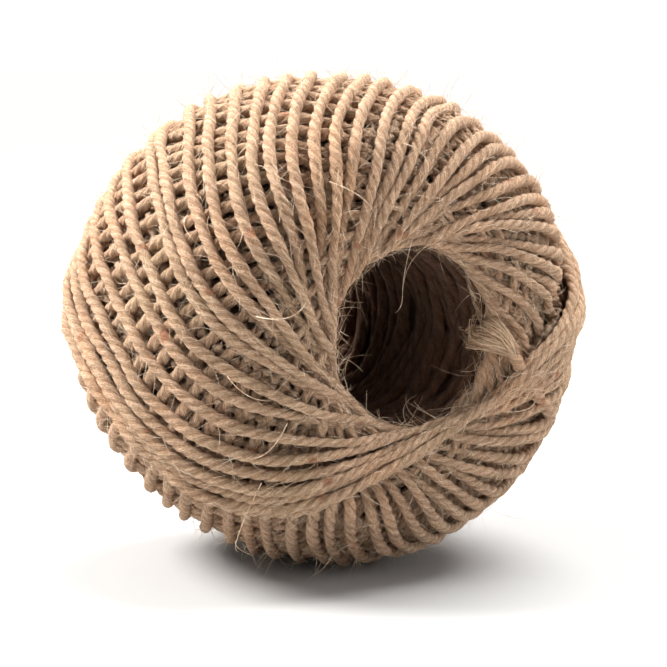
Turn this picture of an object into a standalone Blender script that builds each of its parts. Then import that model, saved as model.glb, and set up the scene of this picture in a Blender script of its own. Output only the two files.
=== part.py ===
"""A ball of jute twine, wound on a spindle and taken off it, with its loose end tucked in.

The hole that the spindle leaves runs along Y, and the face with the loose end looks along -Y. The
ball stands on a small flat spot. Its surface is one closed skin whose columns follow the wound
strands: every strand leaves the rim of one mouth, crosses the side at a slant and comes round the
rim of the other mouth, so a crest column and a valley column stand side by side right round it.
"""

import math

import bpy
from mathutils import Vector

# ---- driving dimensions, in metres and degrees ----
TWINE = 0.0020               # diameter of the twine
BALL_RADIUS = 0.0380         # axis to the crest of the outermost strands
HALF_LENGTH = 0.0296         # middle of the ball to the furthest point of either end
MOUTH_RADIUS = 0.0190        # ring on which each end is furthest out
BORE_RADIUS = 0.0127         # hole left by the spindle
LIP_DROP = 0.0030            # how far the edge of the hole lies behind the end
SHOULDER_POWER = 2.2         # 2 is an ellipse, more is squarer
AXIS_HEIGHT = 0.0369         # axis above the surface that the ball stands on: less than the radius

STRANDS = 48                 # crests counted round the ball
GROOVE_DEPTH = 0.0007        # crest to valley
OUTER_ROWS = 31              # rows of the skin from lip to lip
BORE_ROWS = 6                # rows of the skin along the hole
BORE_WAIST = 0.0004          # how much narrower the hole is at its middle
BORE_TURN = 110.0            # how far the strands turn along the hole

# Slant of a strand against the ball's length, from the ring of each end to the middle.
# share of the way, degrees
SLANT = (
    (-0.25, 66.0),
    (0.00, 54.0),
    (0.15, 41.0),
    (0.35, 35.0),
    (0.60, 46.0),
    (1.00, 42.0),
)

# The last strands laid make a raised band across the face.
BAND_HEIGHT = 0.0012
BAND_HALF_WIDTH = 0.0046
BAND_FADE = 0.0080           # the band sinks into the skin this near the ball's middle
# Middle line of the band: angle about the axis counted from +X towards +Z, distance from the axis
BAND_LINE = (
    (191.0, 0.0376),
    (207.0, 0.0377),
    (220.0, 0.0363),
    (230.0, 0.0325),
    (236.0, 0.0287),
    (243.0, 0.0240),
    (256.0, 0.0192),
    (277.0, 0.0162),
    (299.0, 0.0154),
    (321.0, 0.0160),
    (340.0, 0.0186),
    (352.0, 0.0222),
    (359.0, 0.0264),
    (364.0, 0.0300),
    (370.0, 0.0335),
    (378.0, 0.0362),
)

# Loose end, from its tip at the hole to where it leaves the winding, under the band.
# angle about the axis, distance from the axis, height of its middle over the skin
END_LINE = (
    (359.0, 0.0119, 0.0021),
    (354.5, 0.0131, 0.0017),
    (351.0, 0.0143, 0.0011),
    (346.0, 0.0162, 0.0005),
    (342.0, 0.0180, -0.0005),
    (338.0, 0.0204, -0.0011),
    (334.5, 0.0234, -0.0012),
    (332.5, 0.0272, -0.0010),
    (331.0, 0.0310, -0.0009),
    (330.0, 0.0342, -0.0009),
    (329.5, 0.0365, -0.0009),
)
END_SPACING = 0.0018         # distance between the points of its line
CHANNEL_RADIUS = 0.00142     # channel pressed into the skin round the loose end
CHANNEL_EXTRA = 0.0012       # how much longer the channel is than the loose end
CHANNEL_SIDES = 12
SMALL_STEPS = 240            # steps used to measure along the profile


def clear_scene():
    for item in list(bpy.data.objects):
        bpy.data.objects.remove(item, do_unlink=True)


def between(table, value):
    """The second column of a table at a value of its first column, read on a smooth curve."""
    count = len(table)
    if value <= table[0][0]:
        return table[0][1]
    if value >= table[-1][0]:
        return table[-1][1]
    index = max(i for i in range(count - 1) if table[i][0] <= value)
    x0, y0 = table[index]
    x1, y1 = table[index + 1]

    def slope(i):
        low = max(i - 1, 0)
        high = min(i + 1, count - 1)
        return (table[high][1] - table[low][1]) / (table[high][0] - table[low][0])

    span = x1 - x0
    t = (value - x0) / span
    from_start = (2 * t ** 3 - 3 * t ** 2 + 1) * y0 + (t ** 3 - 2 * t ** 2 + t) * span * slope(index)
    from_end = (3 * t ** 2 - 2 * t ** 3) * y1 + (t ** 3 - t ** 2) * span * slope(index + 1)
    return from_start + from_end


def half_profile():
    """Points (distance from the axis, distance along it) from the lip to the middle of the ball."""
    points = []
    for i in range(SMALL_STEPS):
        turn = math.pi / 2 * i / SMALL_STEPS
        r = MOUTH_RADIUS - (MOUTH_RADIUS - BORE_RADIUS) * math.cos(turn)
        along = HALF_LENGTH - LIP_DROP * (1 - math.sin(turn))
        points.append((r, along))
    power = 2 / SHOULDER_POWER
    for i in range(SMALL_STEPS + 1):
        turn = math.pi / 2 * i / SMALL_STEPS
        r = MOUTH_RADIUS + (BALL_RADIUS - MOUTH_RADIUS) * max(math.sin(turn), 0.0) ** power
        along = HALF_LENGTH * max(math.cos(turn), 0.0) ** power
        points.append((r, along))
    return points


def lengths(points):
    """Running length along a row of points."""
    run = [0.0]
    for one, other in zip(points, points[1:]):
        run.append(run[-1] + math.dist(one, other))
    return run


def winding():
    """Rows (distance from the lip, r, along the axis, turn) from the front lip to the middle.

    The turn is how far a strand has gone round the axis since it left the rim.
    """
    points = half_profile()
    run = lengths(points)
    ring = run[SMALL_STEPS]
    reach = run[-1] - ring
    turn = 0.0
    rows = [(0.0, points[0][0], points[0][1], 0.0)]
    for i in range(1, len(points)):
        slant = math.radians(between(SLANT, (run[i] - ring) / reach))
        turn += math.tan(slant) * (run[i] - run[i - 1]) / points[i][0]
        rows.append((run[i], points[i][0], points[i][1], turn))
    return rows


def read(rows, distance):
    """One row of the winding table at a distance from the lip."""
    for low, high in zip(rows, rows[1:]):
        if high[0] >= distance:
            t = (distance - low[0]) / (high[0] - low[0])
            return [p + (q - p) * t for p, q in zip(low, high)]
    return list(rows[-1])


def whole_turn(half_turn):
    """Turn of a strand round the outside and back through the hole: a whole number of crests."""
    pitch = 2 * math.pi / STRANDS
    return round((2 * half_turn + math.radians(BORE_TURN)) / pitch) * pitch


def section():
    """The closed section as rows (r, along, turn), round the outside and back through the hole."""
    rows = winding()
    length = rows[-1][0]
    half_turn = rows[-1][3]
    out = []
    for i in range(OUTER_ROWS):
        distance = 2 * length * i / (OUTER_ROWS - 1)
        behind = distance > length
        _, r, along, turn = read(rows, 2 * length - distance if behind else distance)
        out.append((r, -along, 2 * half_turn - turn) if behind else (r, along, turn))
    front = HALF_LENGTH - LIP_DROP
    total = whole_turn(half_turn)
    for i in range(1, BORE_ROWS + 1):
        t = i / (BORE_ROWS + 1)
        r = BORE_RADIUS - BORE_WAIST * math.sin(math.pi * t)
        turn = 2 * half_turn + (total - 2 * half_turn) * t
        out.append((r, 2 * front * t - front, turn))
    return out, total


def outward(rows):
    """Directions (r, along) square to the section, one for each row."""
    found = []
    for i in range(len(rows)):
        before = rows[i - 1]
        after = rows[(i + 1) % len(rows)]
        size = math.dist(before[:2], after[:2])
        found.append(((before[1] - after[1]) / size, (after[0] - before[0]) / size))
    return found


def place(angle, r, along):
    """Row-frame point of a place on the ball: the front end looks along -Y."""
    return (r * math.cos(angle), -along, AXIS_HEIGHT + r * math.sin(angle))


def flat_point(angle, r):
    return (r * math.cos(math.radians(angle)), r * math.sin(math.radians(angle)))


def distance_to(line, x, z):
    """Shortest distance of a point from a line of points, seen along the axis."""
    best = math.inf
    for (x0, z0), (x1, z1) in zip(line, line[1:]):
        span = (x1 - x0) ** 2 + (z1 - z0) ** 2
        t = min(max(((x - x0) * (x1 - x0) + (z - z0) * (z1 - z0)) / span, 0.0), 1.0)
        best = min(best, math.hypot(x - x0 - t * (x1 - x0), z - z0 - t * (z1 - z0)))
    return best


def band_rise(x, z, along, band):
    """Height of the last-laid band over the skin at a place on the front."""
    away = distance_to(band, x, z) / BAND_HALF_WIDTH
    if away >= 1 or along <= 0:
        return 0.0
    return BAND_HEIGHT * (1 - away ** 2) * min(along / BAND_FADE, 1.0)


def wound_ball():
    rows, total = section()
    ways = outward(rows)
    band = [flat_point(angle, r) for angle, r in BAND_LINE]
    columns = 2 * STRANDS
    points = []
    for (r, along, turn), (way_r, way_a) in zip(rows, ways):
        for column in range(columns):
            angle = 2 * math.pi * column / columns - turn
            sink = GROOVE_DEPTH * (column % 2)
            rise = 0.0
            if r > BORE_RADIUS:
                rise = band_rise(r * math.cos(angle), r * math.sin(angle), along, band)
            x, y, z = place(angle, r + way_r * (rise - sink), along + way_a * (rise - sink))
            points.append((x, y, max(z, 0.0)))
    faces = []
    closing = int(round(total / (2 * math.pi / columns)))
    for i in range(len(rows)):
        here = i * columns
        there = ((i + 1) % len(rows)) * columns
        # The strands' whole turn brings the last row back to the first some crests further back.
        shift = -closing if i == len(rows) - 1 else 0
        for column in range(columns):
            a = here + column
            b = here + (column + 1) % columns
            c = there + (column + 1 + shift) % columns
            d = there + (column + shift) % columns
            faces.append((a, b, c))
            faces.append((a, c, d))
    mesh = bpy.data.meshes.new("wound_ball")
    mesh.from_pydata(points, [], faces)
    obj = bpy.data.objects.new("wound_ball", mesh)
    bpy.context.scene.collection.objects.link(obj)
    return obj


def centre_along(ball):
    """Moves the ball along Y until its two ends lie equally far out, and returns the move."""
    reach = [vertex.co.y for vertex in ball.data.vertices]
    shift = Vector((0.0, -(min(reach) + max(reach)) / 2, 0.0))
    for vertex in ball.data.vertices:
        vertex.co += shift
    return shift


def skin_depth(r, rows):
    """How far along the axis the front skin lies at a distance from the axis."""
    for low, high in zip(rows, rows[1:]):
        if high[1] >= r:
            t = max((r - low[1]) / (high[1] - low[1]), 0.0)
            return low[2] + (high[2] - low[2]) * t
    return rows[-1][2]


def end_line():
    """Points of the loose end's middle line, evenly spaced, from its tip."""
    rows = winding()
    step = TWINE / 4
    knots = []
    for angle, r, height in END_LINE:
        slope = 0.0
        if r > MOUTH_RADIUS:
            slope = (skin_depth(r + step, rows) - skin_depth(r - step, rows)) / (2 * step)
        size = math.hypot(1.0, slope)
        reach = r - height * slope / size
        knots.append(place(math.radians(angle), reach, skin_depth(r, rows) + height / size))
    run = lengths(knots)
    tables = [[(d, knot[i]) for d, knot in zip(run, knots)] for i in range(3)]
    count = math.ceil(run[-1] / END_SPACING)
    return [
        Vector([between(table, run[-1] * i / count) for table in tables]) for i in range(count + 1)
    ]


def loose_end(line):
    """The end of the twine, a round tube."""
    curve = bpy.data.curves.new("loose_end", "CURVE")
    curve.dimensions = "3D"
    spline = curve.splines.new("POLY")
    spline.points.add(len(line) - 1)
    for point, place_on_line in zip(spline.points, line):
        point.co = (*place_on_line, 1.0)
    curve.bevel_depth = TWINE / 2
    curve.bevel_resolution = 2
    curve.use_fill_caps = True
    obj = bpy.data.objects.new("loose_end", curve)
    bpy.context.scene.collection.objects.link(obj)
    return obj


def channel_cutter(line):
    """A tube round the loose end, a little longer than it, that cuts its channel."""
    line = [p.copy() for p in line]
    line[0] += (line[0] - line[1]).normalized() * CHANNEL_EXTRA
    line[-1] += (line[-1] - line[-2]).normalized() * CHANNEL_EXTRA
    points = []
    side = Vector((0.0, 0.0, 1.0))
    for i, middle in enumerate(line):
        ahead = (line[min(i + 1, len(line) - 1)] - line[max(i - 1, 0)]).normalized()
        side = (side - ahead * side.dot(ahead)).normalized()
        other = ahead.cross(side)
        for j in range(CHANNEL_SIDES):
            turn = 2 * math.pi * j / CHANNEL_SIDES
            points.append(middle + (side * math.cos(turn) + other * math.sin(turn)) * CHANNEL_RADIUS)
    faces = [tuple(reversed(range(CHANNEL_SIDES)))]
    for i in range(len(line) - 1):
        for j in range(CHANNEL_SIDES):
            a = i * CHANNEL_SIDES + j
            b = i * CHANNEL_SIDES + (j + 1) % CHANNEL_SIDES
            faces.append((a, b, b + CHANNEL_SIDES, a + CHANNEL_SIDES))
    last = (len(line) - 1) * CHANNEL_SIDES
    faces.append(tuple(range(last, last + CHANNEL_SIDES)))
    mesh = bpy.data.meshes.new("channel_cutter")
    mesh.from_pydata([tuple(p) for p in points], [], faces)
    obj = bpy.data.objects.new("channel_cutter", mesh)
    bpy.context.scene.collection.objects.link(obj)
    obj.hide_render = True
    obj.display_type = "WIRE"
    return obj


def coloured(obj, name, colour, roughness):
    material = bpy.data.materials.new(name)
    material.use_nodes = True
    shader = material.node_tree.nodes["Principled BSDF"]
    shader.inputs["Base Color"].default_value = (*colour, 1.0)
    shader.inputs["Roughness"].default_value = roughness
    obj.data.materials.append(material)


def main():
    clear_scene()
    ball = wound_ball()
    coloured(ball, "jute_wound", (0.42, 0.29, 0.18), 0.9)
    shift = centre_along(ball)
    line = [point + shift for point in end_line()]
    end = loose_end(line)
    coloured(end, "jute_end", (0.50, 0.36, 0.23), 0.9)
    cut = ball.modifiers.new("channel", "BOOLEAN")
    cut.operation = "DIFFERENCE"
    cut.solver = "EXACT"
    cut.object = channel_cutter(line)


main()
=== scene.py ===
"""The looks of the ball of jute twine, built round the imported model.

One strand is wound loop beside loop round a spindle. Every loop comes in over the side to the rim
of the front mouth, turns round it, goes out again and turns round the rim of the back mouth. Loops
laid later lie over earlier ones. Lengths are in metres and angles in degrees unless a name says so.
An angle about the axis counts from +X towards +Z, and the front looks along -Y.
"""

import math

import bpy
import numpy as np
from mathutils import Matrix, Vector


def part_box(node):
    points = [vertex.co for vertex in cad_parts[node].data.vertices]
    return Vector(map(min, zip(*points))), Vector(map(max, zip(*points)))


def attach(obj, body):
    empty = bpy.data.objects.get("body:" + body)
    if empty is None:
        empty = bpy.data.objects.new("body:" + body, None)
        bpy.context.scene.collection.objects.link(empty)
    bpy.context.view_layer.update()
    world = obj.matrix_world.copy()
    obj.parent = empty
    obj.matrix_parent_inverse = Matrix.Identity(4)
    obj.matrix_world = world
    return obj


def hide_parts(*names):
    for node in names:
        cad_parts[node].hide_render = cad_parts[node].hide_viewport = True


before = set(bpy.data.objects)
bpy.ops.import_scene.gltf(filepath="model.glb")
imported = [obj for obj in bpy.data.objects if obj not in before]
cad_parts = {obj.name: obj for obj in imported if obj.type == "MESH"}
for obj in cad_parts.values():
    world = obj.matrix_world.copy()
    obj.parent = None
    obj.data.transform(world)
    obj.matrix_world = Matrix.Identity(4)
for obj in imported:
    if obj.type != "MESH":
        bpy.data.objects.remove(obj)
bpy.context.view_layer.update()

# ---- sizes shared with the CAD model ----
TWINE = 0.0020
BALL_RADIUS = 0.0380
HALF_LENGTH = 0.0296
MOUTH_RADIUS = 0.0190
BORE_RADIUS = 0.0127
LIP_DROP = 0.0030
SHOULDER_POWER = 2.2
AXIS_HEIGHT = 0.0369
BAND_HEIGHT = 0.0012
# Loose end: angle about the axis, distance from the axis, height of its middle over the skin
END_LINE = (
    (359.0, 0.0119, 0.0021),
    (354.5, 0.0131, 0.0017),
    (351.0, 0.0143, 0.0011),
    (346.0, 0.0162, 0.0005),
    (342.0, 0.0180, -0.0005),
    (338.0, 0.0204, -0.0011),
    (334.5, 0.0234, -0.0012),
    (332.5, 0.0272, -0.0010),
    (331.0, 0.0310, -0.0009),
    (330.0, 0.0342, -0.0009),
    (329.5, 0.0365, -0.0009),
)
END_SPACING = 0.0018
HOLE_STRETCH = 0.0080        # wall inside the hole that the outer strands may reach

# ---- the winding ----
LAST_ANGLE = 300.0           # where the last loop turns round the front mouth
RIDGE_AGES = (0.0, 2.9, 5.6, 8.8, 12.4, 16.8)   # last loops, degrees behind the last one
RIDGE_RISE = (0.0005, 0.0013, 0.0005, 0.0012, 0.0005, 0.0003)
OLDER_LOOPS = 47             # loops behind them, evenly spaced round the rest of the turn
LOOPS_AHEAD = 6              # a loop's back turn runs on into the loop laid this many later
# How far a strand has turned about the axis since its turn round the mouth, against the root of
# its share of the way from mouth to middle, counted from where it turns.
OLD_TURN = (
    (0.0, 0.0), (0.2, 22.0), (0.3, 33.0), (0.4, 43.5), (0.5, 56.0), (0.6, 66.5), (0.7, 74.5),
    (0.8, 82.5), (0.9, 92.5), (1.0, 102.8), (1.09, 110.8), (1.2, 119.5), (1.3, 128.0),
)
LAST_TURN = (
    (0.0, 0.0), (0.2, 27.0), (0.35, 46.0), (0.5, 58.0), (0.62, 64.5), (0.72, 70.0), (0.8, 75.0),
    (0.87, 80.0), (0.93, 86.5), (1.0, 95.0), (1.06, 102.5), (1.14, 109.0), (1.2, 114.5),
    (1.3, 125.0),
)
OLD_START = -0.225           # share of the way at which older strands turn round the mouth
LAST_START = -0.11           # the same for the last strand
RIDGE_SPREAD = 22.0          # age over which the last loops' path passes into the older ones'
TOP_DEPTH = 0.0010           # skin to the middle of a strand that lies on top
UNDER_DEPTH = 0.00205        # the same for a strand that others cross
CROWDED_LENGTH = 0.013       # distance from a mouth's ring over which the strands crowd
STAGGER = (0.0, 0.0013, 0.0002, 0.0010, 0.0001, 0.0015)   # how much deeper they lie, in turn
CROWDED_THIN = 0.24          # how much thinner they are pressed there
PULLED_IN = 0.0013           # how much deeper crossed strands lie between rim and side
DIVE_LENGTH = 0.0032         # half the length over which a strand goes under

STEP = 0.00075               # spacing of the rings of a strand's mesh
PLIES = 3
PLY_PITCH = 0.0063           # length in which a ply goes once round the strand
SIDES = 12


def between(table, value):
    """The second column of a table at values of its first column, read on a smooth curve."""
    x = np.array([row[0] for row in table], float)
    y = np.array([row[1] for row in table], float)
    value = np.asarray(value, float)
    slope = np.gradient(y, x)
    i = np.clip(np.searchsorted(x, value, side="right") - 1, 0, len(x) - 2)
    span = x[i + 1] - x[i]
    t = (np.clip(value, x[0], x[-1]) - x[i]) / span
    start = (2 * t**3 - 3 * t**2 + 1) * y[i] + (t**3 - 2 * t**2 + t) * span * slope[i]
    end = (3 * t**2 - 2 * t**3) * y[i + 1] + (t**3 - t**2) * span * slope[i + 1]
    beyond = np.maximum(value - x[-1], 0.0) * slope[-1]
    return start + end + beyond


def smooth_step(value):
    t = np.clip(value, 0.0, 1.0)
    return t * t * (3 - 2 * t)


class Skin:
    """The ball's outline: distance from the axis and along it against the length from the lip."""

    def __init__(self):
        steps = 400
        turn = np.pi / 2 * np.arange(steps) / steps
        r = MOUTH_RADIUS - (MOUTH_RADIUS - BORE_RADIUS) * np.cos(turn)
        along = HALF_LENGTH - LIP_DROP * (1 - np.sin(turn))
        turn = np.pi / 2 * np.arange(steps + 1) / steps
        power = 2 / SHOULDER_POWER
        r = np.append(r, MOUTH_RADIUS + (BALL_RADIUS - MOUTH_RADIUS) * np.sin(turn) ** power)
        cosine = np.maximum(np.cos(turn), 0.0)
        along = np.append(along, HALF_LENGTH * cosine**power)
        run = np.append(0.0, np.cumsum(np.hypot(np.diff(r), np.diff(along))))
        self.ring = run[steps]
        self.middle = run[-1]
        # A straight stretch of the hole's wall comes before the lip.
        inside = np.linspace(-HOLE_STRETCH, 0.0, 20)[:-1]
        run = np.append(inside, run)
        r = np.append(np.full(19, BORE_RADIUS), r)
        along = np.append(HALF_LENGTH - LIP_DROP + inside, along)
        self.run = np.append(run, 2 * run[-1] - run[-2::-1])
        self.r = np.append(r, r[-2::-1])
        self.along = np.append(along, -along[-2::-1])
        way_r = -np.gradient(self.along, self.run)
        way_along = np.gradient(self.r, self.run)
        size = np.hypot(way_r, way_along)
        self.way_r = way_r / size
        self.way_along = way_along / size

    def at(self, distance):
        """(r, along, normal's r, normal's along) at these distances from the front lip."""
        rows = (self.r, self.along, self.way_r, self.way_along)
        return [np.interp(distance, self.run, row) for row in rows]

    def distance(self, share):
        """Distance from the lip at a share of the way from the mouth's ring to the middle."""
        return self.ring + share * (self.middle - self.ring)


SKIN = Skin()
# The CAD model is centred on its own ends, so its winding lies a little off the origin.
LOW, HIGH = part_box("wound_ball")
CENTRE_Y = 0.000595


def place(angle, r, along):
    """Row-frame points of places on the ball."""
    angle = np.radians(angle)
    x, y, z = np.broadcast_arrays(
        r * np.cos(angle), CENTRE_Y - along, AXIS_HEIGHT + r * np.sin(angle)
    )
    return np.stack([x, y, z], axis=-1)


def unit(vectors):
    return vectors / np.maximum(np.linalg.norm(vectors, axis=-1, keepdims=True), 1e-12)


def turned(share, start, near_last):
    """How far a strand has turned at a share of the way, if it turns round the mouth at start."""
    settled = 0.25           # from here on the start no longer shows
    turns = []
    for table, own_start in ((OLD_TURN, OLD_START), (LAST_TURN, LAST_START)):
        inner = own_start + (share - start) * (settled - own_start) / (settled - start)
        root = np.sqrt(np.maximum(np.where(share < settled, inner, share) - own_start, 0.0))
        turns.append(between(table, root))
    return turns[0] * (1 - near_last) + turns[1] * near_last


def hop(age, total, deeper):
    """(distance from the front lip, turn) of a strand from the front mouth to the back one."""
    near_last = np.exp(-((age / RIDGE_SPREAD) ** 2))
    start = OLD_START + (LAST_START - OLD_START) * near_last - deeper * (1 - near_last)
    share = start + np.linspace(0.0, math.sqrt(1.75 - start), 260) ** 2
    turn = turned(share, start, near_last)
    # Behind the middle the path passes into the front one's mirror image, scaled to end at total.
    meet = 1.45
    gone = np.interp(meet, share, turn)
    scale = (total - gone) / turned(np.array([2 - meet]), start, 0.0)[0]
    mirror = start + np.linspace(math.sqrt(0.85 - start), 0.0, 260) ** 2
    back_share = 2 - mirror
    back_turn = total - scale * turned(mirror, start, 0.0)
    low, high = 1.2, 1.7
    grid = np.linspace(low, high, 60)[1:-1]
    weight = smooth_step((grid - low) / (high - low))
    middle = (1 - weight) * np.interp(grid, share, turn) + weight * np.interp(
        grid, back_share, back_turn
    )
    front, back = share <= low, back_share >= high
    share = np.concatenate([share[front], grid, back_share[back]])
    turn = np.concatenate([turn[front], middle, back_turn[back]])
    return SKIN.distance(share), turn


def run_length(points):
    return np.append(0.0, np.cumsum(np.linalg.norm(np.diff(points, axis=0), axis=1)))


def waves(t, rng, count, shortest, longest):
    """A smooth random wander along t, about 1 in size."""
    out = np.zeros_like(t)
    for _ in range(count):
        wavelength = rng.uniform(shortest, longest)
        out += np.sin(2 * np.pi * t / wavelength + rng.uniform(0, 2 * np.pi))
    return out / math.sqrt(count / 2)


def loop_line(contact, age, totals, rise, stagger, rng, depth_shift=0.0, step=STEP):
    """Middle line and outward directions of one loop, from the back mouth to the back mouth."""
    deeper = rng.uniform(-0.045, 0.045)
    distance_in, turn_in = hop(age, totals[0], deeper)
    distance_out, turn_out = hop(age, totals[1], deeper)
    distance = np.append(distance_in[:0:-1], distance_out)
    turn = np.append(-turn_in[:0:-1], turn_out)
    r, along, _, _ = SKIN.at(distance)
    run = run_length(place(contact + turn, r, along))
    # A strand coming in lies over older ones until it meets a newer one going out.
    rises = np.interp(-(360.0 - age) / 2, turn, run)
    front = np.interp(0.0, turn, run)
    clears = np.interp(age / 2, turn, run)
    even = np.linspace(0.0, run[-1], int(round(run[-1] / step)) + 1)
    distance = np.interp(even, run, distance)
    turn = np.interp(even, run, turn)
    r, along, way_r, way_along = SKIN.at(distance)
    dive = DIVE_LENGTH
    on_top = smooth_step((even - rises + dive) / (2 * dive))
    on_top *= 1 - smooth_step((even - front) / (2 * dive)) * (
        1 - smooth_step((even - clears) / (2 * dive))
    )
    # The wander dies away at both ends, where the loop runs on into others.
    ends = smooth_step(even / 0.03) * smooth_step((run[-1] - even) / 0.03)
    depth = UNDER_DEPTH + (TOP_DEPTH - UNDER_DEPTH) * on_top + depth_shift
    # Strands crowd towards the mouths, so some lie deeper there.
    to_rim = np.minimum(distance, 2 * SKIN.middle - distance) - SKIN.ring
    crowded = 1 - smooth_step(to_rim / CROWDED_LENGTH)
    depth = depth + stagger * crowded
    # The strands that others cross are pulled in further on the way to the mouths.
    near_rim = smooth_step(to_rim / 0.004) * (1 - smooth_step((to_rim - 0.011) / 0.014))
    depth = depth + PULLED_IN * near_rim * (1 - on_top)
    depth = depth - rise * ends + 0.00012 * waves(even, rng, 3, 0.008, 0.03) * ends
    drift = 0.00020 * waves(even, rng, 3, 0.02, 0.07) * ends
    angle = contact + turn + np.degrees(drift / r)
    points = place(angle, r - depth * way_r, along - depth * way_along)
    lowest = np.maximum(depth, TWINE / 2)
    points[:, 2] = np.maximum(points[:, 2], lowest)
    normal = unit(place(angle, way_r, way_along) - place(0.0, 0.0, 0.0))
    return points, normal, even, crowded


def loops():
    """(contact angle, age, rise) of every loop of the top shell, from the last one back."""
    rest = (360.0 - RIDGE_AGES[-1]) / (OLDER_LOOPS + 1)
    ages = list(RIDGE_AGES) + [RIDGE_AGES[-1] + rest * (i + 1) for i in range(OLDER_LOOPS)]
    rises = list(RIDGE_RISE) + [0.0] * OLDER_LOOPS
    return ages, rises


def shell_lines(ages, rises, seed, depth_shift=0.0, step=STEP, uneven=1.0):
    """The lines of all loops of a shell."""
    rng = np.random.default_rng(seed)
    count = len(ages)
    wobble = rng.normal(0.0, uneven, count)
    wobble[:2] *= 0.15
    wobble[2 : len(RIDGE_AGES)] *= 0.5
    contact = np.array([LAST_ANGLE - age for age in ages]) + wobble
    # Loop i was laid before loop i - 1, so what it runs on into is LOOPS_AHEAD places down.
    gap = np.array([(contact[(i - LOOPS_AHEAD) % count] - contact[i]) % 360 for i in range(count)])
    lines = []
    for i in range(count):
        out_total = 180 + gap[i] / 2
        in_total = 180 + gap[(i + LOOPS_AHEAD) % count] / 2
        stagger = STAGGER[i % len(STAGGER)] * rng.uniform(0.7, 1.2) if not rises[i] else 0.0
        lines.append(
            loop_line(
                contact[i], ages[i], (in_total, out_total), rises[i], stagger, rng, depth_shift, step
            )
        )
    return lines


def sweep(points, normal, run, radius, sides, plies=PLIES, groove=0.22, twist_start=0.0, id_shift=0.0):
    """Rings of a twisted strand round a line. Returns points (n, sides, 3) and fibre coordinates."""
    tangent = unit(np.gradient(points, axis=0))
    normal = unit(normal - tangent * np.sum(normal * tangent, axis=1, keepdims=True))
    side = np.cross(tangent, normal)
    column = 2 * np.pi * np.arange(sides) / sides
    twist = twist_start - 2 * np.pi * run / PLY_PITCH
    angle = column[None, :] + twist[:, None]
    lobe = np.abs(np.cos(column * plies / 2))
    reach = radius[:, None] * (1 - groove * (1 - lobe))
    out = (
        points[:, None, :]
        + normal[:, None, :] * (reach * np.cos(angle))[:, :, None]
        + side[:, None, :] * (reach * np.sin(angle))[:, :, None]
    )
    # The columns follow the plies, so streaks along them run as the plies do.
    around = np.broadcast_to(column[None, :], angle.shape)
    fibre = np.stack(
        [
            1000 * TWINE / 2 * np.cos(around),
            1000 * TWINE / 2 * np.sin(around),
            np.broadcast_to(1000 * run[:, None] + id_shift, angle.shape),
        ],
        axis=-1,
    )
    return out, fibre


def tube_faces(rings, sides, first):
    """Quads joining rings of a tube whose first vertex has this index."""
    i = np.arange(rings - 1)[:, None] * sides
    j = np.arange(sides)[None, :]
    k = (j + 1) % sides
    quads = np.stack([i + j, i + k, i + sides + k, i + sides + j], axis=-1)
    return quads.reshape(-1, 4) + first


def mesh_piece(name, points, quads, material, replaces=(), attributes=None):
    mesh = bpy.data.meshes.new(name)
    points = np.asarray(points, np.float32)
    quads = np.asarray(quads, np.int32)
    mesh.vertices.add(len(points))
    mesh.vertices.foreach_set("co", points.ravel())
    mesh.loops.add(quads.size)
    mesh.loops.foreach_set("vertex_index", quads.ravel())
    mesh.polygons.add(len(quads))
    mesh.polygons.foreach_set("loop_start", np.arange(0, quads.size, quads.shape[1], dtype=np.int32))
    mesh.update(calc_edges=True)
    mesh.polygons.foreach_set("use_smooth", np.ones(len(quads), bool))
    for key, values in (attributes or {}).items():
        kind = "FLOAT_VECTOR" if values.ndim == 2 else "FLOAT"
        made = mesh.attributes.new(key, kind, "POINT")
        made.data.foreach_set("vector" if values.ndim == 2 else "value", np.asarray(values, np.float32).ravel())
    mesh.materials.append(material)
    obj = bpy.data.objects.new(name, mesh)
    bpy.context.scene.collection.objects.link(obj)
    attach(obj, "root")
    if replaces:
        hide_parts(*replaces)
    return obj


# ---- camera ----
CAMERA_TURN = -29.5
CAMERA_TILT = 7.0
CAMERA_DISTANCE = 0.342
CAMERA_LENS = 119.0
AIM_RIGHT = 0.0017
AIM_DOWN = 0.0026


def make_camera():
    turn, tilt = math.radians(CAMERA_TURN), math.radians(CAMERA_TILT)
    back = Vector((math.sin(turn) * math.cos(tilt), -math.cos(turn) * math.cos(tilt), math.sin(tilt)))
    right = Vector((math.cos(turn), math.sin(turn), 0.0))
    up = back.cross(right)
    middle = Vector((0.0, CENTRE_Y, AXIS_HEIGHT))
    aim = middle + right * AIM_RIGHT - up * AIM_DOWN
    data = bpy.data.cameras.new("camera")
    data.lens = CAMERA_LENS
    data.sensor_width = 36.0
    data.clip_start = 0.01
    camera = bpy.data.objects.new("camera", data)
    bpy.context.scene.collection.objects.link(camera)
    camera.location = middle + back * CAMERA_DISTANCE
    camera.rotation_mode = "QUATERNION"
    camera.rotation_quaternion = (aim - camera.location).to_track_quat("-Z", "Y")
    bpy.context.scene.camera = camera


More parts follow.
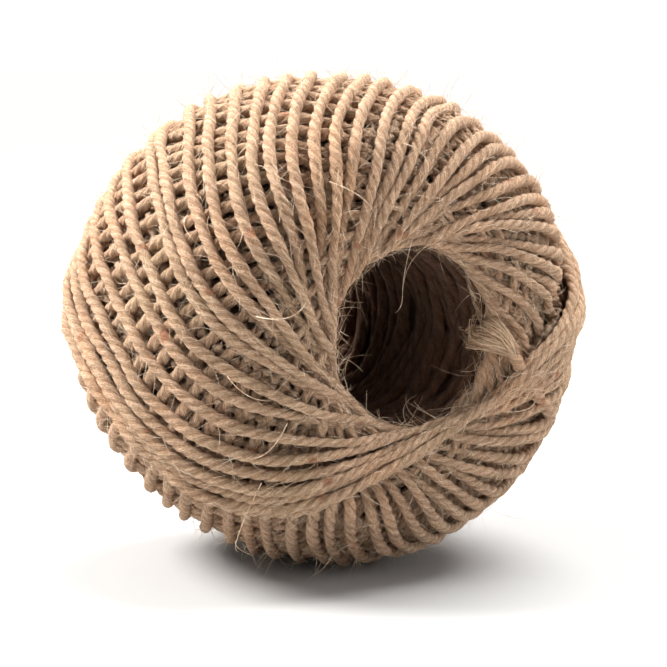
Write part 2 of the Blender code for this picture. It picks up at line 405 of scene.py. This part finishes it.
# ---- materials ----
class Nodes:
    """Short names for building a material's nodes."""

    def __init__(self, name):
        self.material = bpy.data.materials.new(name)
        self.material.use_nodes = True
        self.tree = self.material.node_tree
        self.shader = self.tree.nodes["Principled BSDF"]

    def add(self, kind, **settings):
        node = self.tree.nodes.new(kind)
        for key, value in settings.items():
            setattr(node, key, value)
        return node

    def link(self, output, target):
        self.tree.links.new(output, target)

    def put(self, socket, value):
        if isinstance(value, bpy.types.NodeSocket):
            self.link(value, socket)
        else:
            socket.default_value = value

    def scaled(self, vector, scale):
        node = self.add("ShaderNodeVectorMath", operation="MULTIPLY")
        self.put(node.inputs[0], vector)
        node.inputs[1].default_value = scale
        return node.outputs[0]

    def noise(self, vector, scale=1.0, detail=3.0, roughness=0.5):
        node = self.add("ShaderNodeTexNoise")
        self.put(node.inputs["Vector"], vector)
        node.inputs["Scale"].default_value = scale
        node.inputs["Detail"].default_value = detail
        node.inputs["Roughness"].default_value = roughness
        return node.outputs["Fac"]

    def ramp(self, value, stops):
        node = self.add("ShaderNodeValToRGB")
        self.put(node.inputs["Fac"], value)
        elements = node.color_ramp.elements
        while len(elements) < len(stops):
            elements.new(0.5)
        for element, (position, colour) in zip(elements, stops):
            element.position = position
            element.color = (*colour, 1.0)
        return node.outputs["Color"]

    def mix(self, factor, a, b, blend="MIX"):
        node = self.add("ShaderNodeMix", data_type="RGBA", blend_type=blend)
        self.put(node.inputs[0], factor)
        for socket, value in ((node.inputs[6], a), (node.inputs[7], b)):
            self.put(socket, (*value, 1.0) if isinstance(value, tuple) and len(value) == 3 else value)
        return node.outputs[2]

    def remap(self, value, low, high, to_low, to_high):
        node = self.add("ShaderNodeMapRange")
        self.put(node.inputs["Value"], value)
        for key, number in (("From Min", low), ("From Max", high), ("To Min", to_low), ("To Max", to_high)):
            node.inputs[key].default_value = number
        return node.outputs["Result"]


CLEFT_SHADE = (0.74, 0.65, 0.555)      # painted shade: how much darker the colour is made in the grooves between the plies


def jute(name, light=(0.92, 0.655, 0.462), dark=(0.32, 0.172, 0.082), painted_light_gain=1.0):
    """Twisted jute: streaks along the strand, patches of tone, painted shade in the grooves between the plies, and
    bump from the fibres.
    """
    n = Nodes(name)
    fibre = n.add("ShaderNodeAttribute", attribute_name="fibre").outputs["Vector"]
    place_on = n.add("ShaderNodeTexCoord").outputs["Object"]
    streak = n.noise(n.scaled(fibre, (7.5, 7.5, 0.80)), 1.0, 5.0, 0.72)
    fine = n.noise(n.scaled(place_on, (2600.0, 2600.0, 2600.0)), 1.0, 2.0, 0.6)
    patch = n.noise(n.scaled(fibre, (0.25, 0.25, 0.16)), 1.0, 2.0, 0.5)
    wide = n.noise(n.scaled(place_on, (60.0, 60.0, 60.0)), 1.0, 3.0, 0.6)
    colour = n.ramp(streak, ((0.34, dark), (0.50, tuple((a + b) / 2 for a, b in zip(light, dark))), (0.64, light)))
    tone = n.ramp(patch, ((0.30, (0.80, 0.78, 0.74)), (0.52, (1.0, 1.0, 1.0)), (0.75, (1.13, 1.12, 1.10))))
    colour = n.mix(1.0, colour, tone, "MULTIPLY")
    tint = n.ramp(wide, ((0.30, (1.05, 0.97, 0.88)), (0.5, (1.0, 1.0, 1.0)), (0.70, (0.97, 1.01, 0.98))))
    colour = n.mix(1.0, colour, tint, "MULTIPLY")
    fleck = n.noise(n.scaled(place_on, (300.0, 300.0, 300.0)), 1.0, 1.0, 0.4)
    fleck = n.ramp(fleck, ((0.69, (1.0, 1.0, 1.0)), (0.77, (0.78, 0.55, 0.45))))
    colour = n.mix(1.0, colour, fleck, "MULTIPLY")
    speck = n.ramp(fine, ((0.36, (0.84, 0.80, 0.76)), (0.64, (1.12, 1.12, 1.12))))
    colour = n.mix(1.0, colour, speck, "MULTIPLY")
    # Painted shade: the colour is darkened in the grooves between the plies, where shade falls.
    painted_cleft_shade = n.add("ShaderNodeAttribute", attribute_name="painted_cleft_shade").outputs["Fac"]
    shade = n.ramp(painted_cleft_shade, ((0.15, (1.0, 1.0, 1.0)), (1.0, CLEFT_SHADE)))
    colour = n.mix(1.0, colour, shade, "MULTIPLY")
    # Painted light and shade: a gain over 1 lightens the whole colour, one under 1 darkens it and makes it richer.
    if painted_light_gain != 1.0:
        colour = n.mix(1.0, colour, (painted_light_gain, painted_light_gain**1.32, painted_light_gain**1.65), "MULTIPLY")
    n.link(colour, n.shader.inputs["Base Color"])
    rough = n.remap(fine, 0.3, 0.7, 0.78, 0.98)
    n.link(rough, n.shader.inputs["Roughness"])
    n.shader.inputs["Specular IOR Level"].default_value = 0.18
    n.shader.inputs["Sheen Weight"].default_value = 0.12
    n.shader.inputs["Sheen Roughness"].default_value = 0.6
    height = n.add("ShaderNodeMath", operation="ADD")
    n.link(streak, height.inputs[0])
    half = n.add("ShaderNodeMath", operation="MULTIPLY")
    n.link(fine, half.inputs[0])
    half.inputs[1].default_value = 0.6
    n.link(half.outputs[0], height.inputs[1])
    bump = n.add("ShaderNodeBump")
    bump.inputs["Strength"].default_value = 0.85
    bump.inputs["Distance"].default_value = 0.00055
    n.link(height.outputs[0], bump.inputs["Height"])
    n.link(bump.outputs["Normal"], n.shader.inputs["Normal"])
    return n.material


def join_tubes(tubes, sides, plies=PLIES):
    """Points, quads and point attributes of several tubes as one mesh."""
    points, quads, fibres, first = [], [], [], 0
    for rings, fibre in tubes:
        count = len(rings)
        quads.append(tube_faces(count, sides, first))
        points.append(rings.reshape(-1, 3))
        fibres.append(fibre.reshape(-1, 3))
        first += count * sides
    fibres = np.concatenate(fibres)
    around = np.arctan2(fibres[:, 1], fibres[:, 0])
    # A mask of the grooves between the plies, which the jute material darkens as painted shade.
    painted_cleft_shade = 1 - np.abs(np.cos(around * plies / 2))
    return np.concatenate(points), np.concatenate(quads), {"fibre": fibres, "painted_cleft_shade": painted_cleft_shade}


def above_floor(points, least=0.0):
    points[:, 2] = np.maximum(points[:, 2], least)
    return points


def wound_shell(material):
    """The outer shell: every loop as a twisted strand, in three pieces."""
    ages, rises = loops()
    lines = shell_lines(ages, rises, 11)
    rng = np.random.default_rng(5)
    tubes = []
    for i, (points, normal, run, crowded) in enumerate(lines):
        radius = TWINE / 2 * (0.95 - CROWDED_THIN * crowded + 0.05 * waves(run, rng, 3, 0.006, 0.03))
        tubes.append(sweep(points, normal, run, radius, SIDES, twist_start=rng.uniform(0, 6.28), id_shift=400.0 * i))
    thirds = np.array_split(np.arange(len(tubes)), 3)
    for k, members in enumerate(thirds):
        points, quads, attributes = join_tubes([tubes[i] for i in members], SIDES)
        mesh_piece(
            f"outer_loops_{k + 1}", above_floor(points), quads, material,
            ("wound_ball",), attributes,
        )
    return lines


def inner_shell(material):
    """The shell wound just before, which shows through the gaps."""
    count, step, sides = 52, 0.0019, 8
    ages = [360.0 * (i + 0.5) / count for i in range(count)]
    lines = shell_lines(ages, [0.0] * count, 23, depth_shift=0.0022, step=step, uneven=1.4)
    rng = np.random.default_rng(6)
    tubes = []
    for i, (points, normal, run, _) in enumerate(lines):
        tubes.append(sweep(points, normal, run, np.full(len(run), TWINE / 2), sides, 2, 0.12, rng.uniform(0, 6.28), 30000.0 + 400.0 * i))
    points, quads, attributes = join_tubes(tubes, sides, 2)
    mesh_piece("inner_loops", above_floor(points, 0.001), quads, material, ("wound_ball",), attributes)


BORE_RINGS = 14
BORE_ARCS = 13


def bore_wall(material):
    """The turns of the older shells round the spindle's hole."""
    rng = np.random.default_rng(31)
    sides, step = 8, 0.0011
    front = HALF_LENGTH - LIP_DROP
    tubes = []
    for ring in range(BORE_RINGS):
        share = 1 - 2 * (ring + 0.5) / BORE_RINGS
        middle = share * (front - 0.0022)
        for arc in range(BORE_ARCS):
            contact = 360.0 * (arc + rng.uniform(-0.35, 0.35)) / BORE_ARCS + 11 * ring
            spread = rng.uniform(48, 66)
            turn = np.linspace(-spread, spread, 120)
            bend = (turn / 50.0) ** 2
            tilt = rng.normal(0, 0.0006)
            r = BORE_RADIUS + TWINE / 2 + rng.uniform(0.0, 0.0008) + 0.0020 * bend
            along = middle + rng.normal(0, 0.0008) + math.copysign(0.0016, share) * bend + tilt * turn / 50
            points = place(contact + turn, r, along)
            run = run_length(points)
            even = np.linspace(0, run[-1], int(run[-1] / step))
            points = np.stack([np.interp(even, run, points[:, k]) for k in range(3)], axis=1)
            normal = unit(place(0, 0, 0) - points) * np.array([1.0, 0.0, 1.0])
            tubes.append(sweep(points, unit(normal), even, np.full(len(even), TWINE / 2 * 0.95), sides, 2, 0.15, rng.uniform(0, 6.28), 60000.0 + 97.0 * len(tubes)))
    points, quads, attributes = join_tubes(tubes, sides, 2)
    mesh_piece("hole_wall", points, quads, material, ("wound_ball",), attributes)


def packed_body(material):
    """What the older shells under these close off: a plain ring deep inside."""
    depth = 0.0072
    distance = np.linspace(SKIN.ring, 2 * SKIN.middle - SKIN.ring, 60)
    r, along, way_r, way_along = SKIN.at(distance)
    r, along = r - depth * way_r, along - depth * way_along
    r = np.concatenate([[0.0160, 0.0160], r, [0.0160, 0.0160]])
    along = np.concatenate([[0.0, 0.018], along, [-0.018, 0.0]])
    columns = 96
    angle = 360.0 * np.arange(columns) / columns
    rings = place(angle[None, :], r[:, None], along[:, None])
    points = rings.reshape(-1, 3)
    quads = tube_faces(len(r), columns, 0)
    fibre = 1000 * points
    mesh_piece("packed_body", above_floor(points, 0.002), quads, material, ("wound_ball",), {"fibre": fibre})


def end_points():
    """The loose end's line as in the CAD model, from its tip."""
    front = SKIN.run <= SKIN.middle
    step = TWINE / 4
    knots = []
    for angle, r, height in END_LINE:
        slope = 0.0
        if r > MOUTH_RADIUS:
            ahead = np.interp(r + step, SKIN.r[front], SKIN.along[front])
            behind = np.interp(r - step, SKIN.r[front], SKIN.along[front])
            slope = float(ahead - behind) / (2 * step)
        size = math.hypot(1.0, slope)
        depth = float(np.interp(r, SKIN.r[front], SKIN.along[front]))
        knots.append(place(angle, r - height * slope / size, depth + height / size))
    knots = np.array(knots)
    run = run_length(knots)
    count = math.ceil(run[-1] / END_SPACING)
    even = np.linspace(0.0, run[-1], count + 1)
    return np.stack([between(list(zip(run, knots[:, k])), even) for k in range(3)], axis=1)


def loose_end(material):
    line = end_points()
    run = run_length(line)
    even = np.linspace(0.0, run[-1], int(run[-1] / 0.0004))
    points = np.stack([between(list(zip(run, line[:, k])), even) for k in range(3)], axis=1)
    normal = np.tile(np.array([[0.0, -1.0, 0.0]]), (len(points), 1))
    taper = 0.30 + 0.70 * smooth_step(even / 0.0040)
    rings, fibre = sweep(points, normal, even, TWINE / 2 * taper, SIDES, id_shift=90000.0)
    closing = np.repeat(points[:1, None, :], SIDES, axis=1) + (rings[:1] - points[:1, None, :]) * 0.05
    rings = np.concatenate([closing, rings])
    fibre = np.concatenate([fibre[:1], fibre])
    flat, quads, attributes = join_tubes([(rings, fibre)], SIDES)
    cord = mesh_piece("loose_twine", flat, quads, material, ("loose_end",), attributes)
    return cord


def hair_tubes(starts, directions, lengths, bends, radius, segments):
    """Thin three-sided tubes that taper to their tips. All arguments but the last are arrays."""
    count = len(starts)
    t = np.linspace(0.0, 1.0, segments + 1)
    line = (
        starts[:, None, :]
        + directions[:, None, :] * (lengths[:, None] * t)[:, :, None]
        + bends[:, None, :] * (lengths[:, None] * t**2)[:, :, None]
    )
    tangent = unit(np.gradient(line, axis=1))
    helper = np.where(np.abs(tangent[:, :, 2:3]) < 0.9, [[[0.0, 0.0, 1.0]]], [[[1.0, 0.0, 0.0]]])
    side = unit(np.cross(tangent, helper))
    other = np.cross(tangent, side)
    thick = radius[:, None] * (1 - 0.75 * t[None, :] ** 2)
    rings = []
    for k in range(3):
        a = 2 * np.pi * k / 3
        rings.append(line + (side * math.cos(a) + other * math.sin(a)) * thick[:, :, None])
    rings = np.stack(rings, axis=2)
    first = np.arange(count) * (segments + 1) * 3
    quads = (tube_faces(segments + 1, 3, 0)[None, :, :] + first[:, None, None]).reshape(-1, 4)
    return rings.reshape(-1, 3), quads


TUFT_FIBRES = 300
TUFT_WIDTH = 0.0034          # half the width of the frayed end at its widest
TUFT_LENGTH = 0.0128


def tuft(material):
    """The frayed fibres of the loose end, spread over its tip and flat on the rim."""
    rng = np.random.default_rng(41)
    line = end_points()
    run = run_length(line)
    table = [list(zip(run, line[:, k])) for k in range(3)]
    rings, quads, tones, first = [], [], [], 0
    steps = 12
    for _ in range(TUFT_FIBRES):
        side, lift = rng.uniform(-1, 1), abs(rng.normal(0, 0.5))
        tip = 0.0014 + 0.0028 * side**2 + rng.uniform(0.0, 0.0018)
        t = np.linspace(tip, TUFT_LENGTH * rng.uniform(0.85, 1.0), steps + 1)
        middle = np.stack([between(table[k], np.maximum(t, 0.0)) for k in range(3)], axis=1)
        ahead = unit(np.gradient(middle, axis=0))
        middle = middle + ahead * np.minimum(t, 0.0)[:, None]
        out = np.tile([0.0, -1.0, 0.0], (steps + 1, 1))
        out = unit(out - ahead * np.sum(out * ahead, axis=1, keepdims=True))
        across = np.cross(ahead, out)
        open_up = np.sin(np.pi * np.clip(t / TUFT_LENGTH, 0, 1) ** 0.8) * 0.78 + 0.22 * (1 - t / TUFT_LENGTH)
        sway = 0.00018 * waves(t, rng, 2, 0.003, 0.008)
        offset = side * TUFT_WIDTH * open_up + sway
        height = (0.55 + 0.35 * lift) * TWINE / 2 * (1 - 0.45 * (offset / TUFT_WIDTH) ** 2)
        points = middle + across * offset[:, None] + out * height[:, None]
        radius = rng.uniform(0.00006, 0.00013) * (0.45 + 0.55 * smooth_step((t - t[0]) / 0.002))
        tube, _ = sweep(points, out, t, radius, 5, 1, 0.0)
        rings.append(tube.reshape(-1, 3))
        tones.append(np.full(len(rings[-1]), rng.random()))
        quads.append(tube_faces(steps + 1, 5, first))
        first += (steps + 1) * 5
    points = np.concatenate(rings)
    return mesh_piece(
        "frayed_fibres", points, np.concatenate(quads), material, ("loose_end",),
        {"tone": np.concatenate(tones)},
    )


# Long stray fibres that the photo shows: three places on each, as an angle about the axis, a
# distance from the lip over the skin and a height over it, and the fibre's half thickness.
STRAY_FIBRES = (
    ((170.0, 0.0155, 0.0008), (168.5, 0.0118, 0.0034), (161.0, 0.0094, 0.0012), 0.000060),
    ((219.0, 0.0205, 0.0006), (226.0, 0.0262, 0.0044), (233.0, 0.0312, 0.0034), 0.000055),
    ((228.5, 0.0284, 0.0040), (231.5, 0.0296, 0.0038), (236.0, 0.0300, 0.0032), 0.000050),
    ((97.0, 0.0030, 0.0004), (96.0, -0.0008, 0.0034), (101.0, -0.0012, 0.0070), 0.000048),
    ((84.0, 0.0020, 0.0004), (90.0, -0.0006, 0.0020), (98.0, -0.0010, 0.0052), 0.000040),
    ((101.0, -0.0012, 0.0068), (106.0, -0.0014, 0.0082), (122.0, -0.0016, 0.0088), 0.000036),
    ((172.0, 0.0020, 0.0004), (175.0, -0.0004, 0.0014), (177.0, -0.0010, 0.0026), 0.000042),
    ((190.0, 0.0018, 0.0004), (197.0, -0.0006, 0.0022), (212.0, -0.0012, 0.0036), 0.000024),
    ((200.0, 0.0016, 0.0004), (195.0, -0.0004, 0.0016), (188.0, -0.0010, 0.0034), 0.000022),
    ((262.0, 0.0012, 0.0004), (266.0, -0.0012, 0.0022), (280.0, -0.0014, 0.0036), 0.000024),
    ((276.0, 0.0014, 0.0004), (270.0, -0.0010, 0.0016), (268.0, -0.0012, 0.0040), 0.000022),
    ((285.0, 0.0010, 0.0004), (279.0, -0.0012, 0.0020), (277.0, -0.0014, 0.0030), 0.000022),
    ((187.0, 0.0192, 0.0008), (192.0, 0.0166, 0.0028), (196.0, 0.0140, 0.0010), 0.000048),
    ((123.0, 0.0158, 0.0008), (120.0, 0.0120, 0.0030), (116.0, 0.0088, 0.0010), 0.000050),
    ((97.0, 0.0170, 0.0008), (93.0, 0.0145, 0.0026), (89.0, 0.0124, 0.0010), 0.000048),
    ((318.0, 0.0060, 0.0006), (326.0, 0.0082, 0.0030), (334.0, 0.0090, 0.0016), 0.000046),
    ((205.0, 0.0130, 0.0008), (209.0, 0.0165, 0.0030), (210.0, 0.0200, 0.0012), 0.000046),
    ((150.0, 0.0300, 0.0008), (154.0, 0.0270, 0.0034), (157.0, 0.0240, 0.0012), 0.000046),
)


def stray_fibres(material):
    """The long fibres, each a smooth bend through its three places."""
    rings, quads, first = [], [], 0
    for *places, radius in STRAY_FIBRES:
        ends = []
        for angle, distance, height in places:
            r, along, way_r, way_along = SKIN.at(distance)
            ends.append(place(angle, r + height * way_r, along + height * way_along))
        t = np.linspace(0.0, 1.0, 25)[:, None]
        pull = 2 * ends[1] - (ends[0] + ends[2]) / 2
        line = (1 - t) ** 2 * ends[0] + 2 * t * (1 - t) * pull + t**2 * ends[2]
        out = unit(line - place(0.0, 0.0, 0.0))
        thick = radius * (1 - 0.6 * t[:, 0] ** 2)
        tube, _ = sweep(line, out, run_length(line), thick, 5, 1, 0.0)
        rings.append(tube.reshape(-1, 3))
        quads.append(tube_faces(len(t), 5, first))
        first += len(rings[-1])
    points = above_floor(np.concatenate(rings), 0.00005)
    mesh_piece("stray_fibres", points, np.concatenate(quads), material, ("wound_ball",))


def fuzz(name, lines, material, count, seed, usual, lean_by, least_crowded=0.0, thick=1.0):
    """Fibres standing off the strands of the outer shell, or off their crowded parts alone."""
    rng = np.random.default_rng(seed)
    which = rng.integers(0, len(lines), count)
    starts, ways = np.empty((count, 3)), np.empty((count, 3))
    for i, k in enumerate(which):
        points, normal, _, crowded = lines[k]
        j = rng.choice(np.flatnonzero(crowded[3:-3] >= least_crowded)) + 3
        along = unit(points[j + 1] - points[j - 1])
        out = unit(normal[j] - along * normal[j].dot(along))
        across = np.cross(along, out)
        turn = rng.normal(0.0, 0.7)
        away = out * math.cos(turn) + across * math.sin(turn)
        starts[i] = points[j] + away * TWINE / 2 * 0.85
        lean = abs(rng.normal(lean_by, 0.30))
        ways[i] = along * rng.choice((-1, 1)) + away * lean + across * rng.normal(0, 0.4)
    ways = unit(ways)
    lengths = np.clip(rng.lognormal(math.log(usual), 0.5, count), 0.001, 0.0062)
    bends = rng.normal(0, 0.30, (count, 3))
    radius = thick * rng.uniform(0.000028, 0.000052, count)
    points, quads = hair_tubes(starts, ways, lengths, bends, radius, 4)
    mesh_piece(name, above_floor(points, 0.00005), quads, material, ("wound_ball",))


def hair_material(name, low, middle, high, by_fibre=False):
    """Single fibres: their tone comes from their place, or from a number that each carries."""
    n = Nodes(name)
    if by_fibre:
        tone = n.add("ShaderNodeAttribute", attribute_name="tone").outputs["Fac"]
        tone = n.remap(tone, 0.0, 1.0, 0.30, 0.70)
    else:
        place_on = n.add("ShaderNodeTexCoord").outputs["Object"]
        tone = n.noise(n.scaled(place_on, (900.0, 900.0, 900.0)), 1.0, 1.0, 0.5)
    colour = n.ramp(tone, ((0.35, low), (0.5, middle), (0.65, high)))
    n.link(colour, n.shader.inputs["Base Color"])
    n.link(n.remap(tone, 0.3, 0.7, 0.5, 0.75), n.shader.inputs["Roughness"])
    n.shader.inputs["Specular IOR Level"].default_value = 0.3
    return n.material


# ---- surroundings ----
DIM_AMBIENT = 0.06
BRIGHT_AMBIENT = 0.75
BRIGHT_WALL = (-0.70, 0.52, 0.48)
BACKDROP = 1.1
OVERHEAD = 6.4
OVERHEAD_SPREAD = 46.0
OVERHEAD_FROM = (0.45, 0.12, 0.88)


def make_floor():
    size = 6.0
    mesh = bpy.data.meshes.new("floor")
    mesh.from_pydata([(-size, -size, 0), (size, -size, 0), (size, size, 0), (-size, size, 0)], [], [(0, 1, 2, 3)])
    floor = bpy.data.objects.new("floor", mesh)
    bpy.context.scene.collection.objects.link(floor)
    n = Nodes("pale_floor")
    n.shader.inputs["Base Color"].default_value = (0.44, 0.44, 0.44, 1.0)
    n.shader.inputs["Roughness"].default_value = 0.6
    n.shader.inputs["Specular IOR Level"].default_value = 0.2
    mesh.materials.append(n.material)


def soft_light(name, place_at, towards, size, power, colour=(1.0, 1.0, 1.0)):
    data = bpy.data.lights.new(name, "AREA")
    data.shape = "DISK"
    data.size = size
    data.energy = power
    data.color = colour
    lamp = bpy.data.objects.new(name, data)
    bpy.context.scene.collection.objects.link(lamp)
    lamp.location = place_at
    lamp.rotation_mode = "QUATERNION"
    lamp.rotation_quaternion = (Vector(towards) - Vector(place_at)).to_track_quat("-Z", "Y")


def make_surroundings():
    """A white studio: the backdrop shows white, and lights the ball less than it shows."""
    world = bpy.data.worlds.new("studio")
    world.use_nodes = True
    tree = world.node_tree
    back = tree.nodes["Background"]
    back.inputs["Color"].default_value = (1.0, 1.0, 1.0, 1.0)
    # The walls are brighter on one side, and the side that the camera sees is plain white.
    facing = tree.nodes.new("ShaderNodeVectorMath")
    facing.operation = "DOT_PRODUCT"
    tree.links.new(tree.nodes.new("ShaderNodeTexCoord").outputs["Generated"], facing.inputs[0])
    facing.inputs[1].default_value = BRIGHT_WALL
    walls = tree.nodes.new("ShaderNodeMapRange")
    tree.links.new(facing.outputs["Value"], walls.inputs["Value"])
    walls.inputs["From Min"].default_value = -1.0
    walls.inputs["To Min"].default_value = DIM_AMBIENT
    walls.inputs["To Max"].default_value = BRIGHT_AMBIENT
    strength = tree.nodes.new("ShaderNodeMapRange")
    tree.links.new(tree.nodes.new("ShaderNodeLightPath").outputs["Is Camera Ray"], strength.inputs["Value"])
    tree.links.new(walls.outputs["Result"], strength.inputs["To Min"])
    strength.inputs["To Max"].default_value = BACKDROP
    tree.links.new(strength.outputs["Result"], back.inputs["Strength"])
    bpy.context.scene.world = world
    data = bpy.data.lights.new("overhead", "SUN")
    data.energy = OVERHEAD
    data.angle = math.radians(OVERHEAD_SPREAD)
    data.color = (1.0, 0.99, 0.97)
    lamp = bpy.data.objects.new("overhead", data)
    bpy.context.scene.collection.objects.link(lamp)
    lamp.rotation_mode = "QUATERNION"
    lamp.rotation_quaternion = Vector(OVERHEAD_FROM).to_track_quat("Z", "Y")
    soft_light("side", (-0.32, 0.29, 0.45), (0, 0, 0.04), 0.30, 9.5, (1.0, 0.98, 0.95))
    soft_light("right_fill", (0.39, -0.22, 0.10), (0, 0, 0.03), 0.25, 0.8)
    bpy.context.scene.view_settings.view_transform = "Standard"


make_camera()
outer = jute("jute_wound")
# A copy painted lighter, so the shaded gaps where the inner shell shows through read lighter: painted light.
under = jute("jute_inner_painted_light", painted_light_gain=1.12)
# A copy painted much darker and richer for the hole's wall and the body deep inside: painted shade.
deep = jute("jute_hole_painted_shade", painted_light_gain=0.25)
tip = jute("jute_end")
fibres = hair_material("jute_fibre", (0.50, 0.33, 0.20), (0.80, 0.60, 0.42), (0.95, 0.80, 0.62))
# A darker copy of the fibres for those at the mouths, where the hole's shade falls: painted shade.
dim = hair_material("jute_fibre_mouth_painted_shade", (0.22, 0.14, 0.08), (0.42, 0.29, 0.19), (0.62, 0.46, 0.32))
frayed = hair_material("jute_frayed", (0.20, 0.12, 0.066), (0.38, 0.25, 0.155), (0.58, 0.41, 0.27), True)
loose_end(tip)
tuft(frayed)
lines = wound_shell(outer)
inner_shell(under)
bore_wall(deep)
packed_body(deep)
hairs = 5500
fuzz("fuzz_short", lines, fibres, hairs, 77, 0.0022, 0.26, 0.0, 0.72)
fuzz("fuzz_long", lines, fibres, hairs, 78, 0.0030, 0.10, 0.0, 0.75)
fuzz("fuzz_mouth", lines, dim, 450, 79, 0.0024, 0.45, 0.999, 0.65)
stray_fibres(fibres)
make_floor()
make_surroundings()
